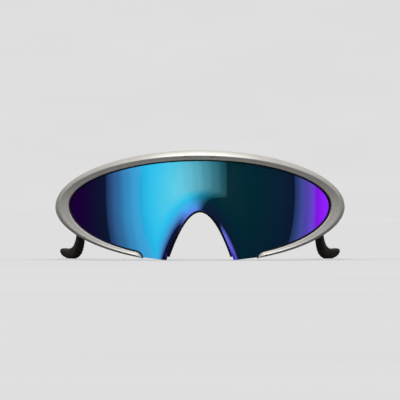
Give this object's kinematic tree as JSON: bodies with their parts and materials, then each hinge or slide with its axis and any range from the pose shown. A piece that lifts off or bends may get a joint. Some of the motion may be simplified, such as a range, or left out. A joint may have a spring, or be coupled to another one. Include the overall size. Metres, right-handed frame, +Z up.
{
  "type": "wraparound sport sunglasses",
  "caption": "Wraparound sport sunglasses: one-piece mirrored shield lens in an elliptical rim that is open at the nose, with folding temples and rubber tips.",
  "frame": {"origin": "on the floor, below the middle of the bounding box of the open sunglasses", "axes": "+X to the wearer's left, -Y the way the wearer looks, +Z up"},
  "size_m": [0.1482, 0.1605, 0.0558],
  "materials": {
    "rim_paint": "satin champagne metallic lacquer on moulded nylon",
    "mirror_lens": "dark tinted polycarbonate with a blue to violet mirror coating",
    "black_rubber": "soft matte",
    "brown_rubber": "fine moulded matte",
    "black_plastic": "satin",
    "hinge_steel": "brushed stainless",
    "screw_steel": "polished stainless"
  },
  "bodies": {
    "front": {"front_frame": "rim_paint", "shield_lens": "mirror_lens", "lens_seal": "black_rubber", "brow_clip": "rim_paint", "lens_catch_left": "black_plastic", "lens_catch_right": "black_plastic", "nose_bridge": "black_plastic", "nose_pad_left": "brown_rubber", "nose_pad_right": "brown_rubber", "hinge_block_left": "hinge_steel", "hinge_screw_left": "screw_steel", "bracket_screw_left": "screw_steel", "hinge_washers_left": "black_plastic", "hinge_block_right": "hinge_steel", "hinge_screw_right": "screw_steel", "bracket_screw_right": "screw_steel", "hinge_washers_right": "black_plastic"},
    "temple_left": {"temple_core_left": "hinge_steel", "temple_arm_left": "rim_paint", "ear_sock_left": "brown_rubber"},
    "temple_right": {"temple_core_right": "hinge_steel", "temple_arm_right": "rim_paint", "ear_sock_right": "brown_rubber"}
  },
  "joints": [
    {"name": "temple_left_fold", "type": "hinge", "parent": "front", "child": "temple_left", "pos_m": [0.0682, -0.0214, 0.0275], "axis": [0, 0, 1], "range_deg": [0, 92]},
    {"name": "temple_right_fold", "type": "hinge", "parent": "front", "child": "temple_right", "pos_m": [-0.0682, -0.0214, 0.0275], "axis": [0, 0, -1], "range_deg": [0, 84]}
  ]
}
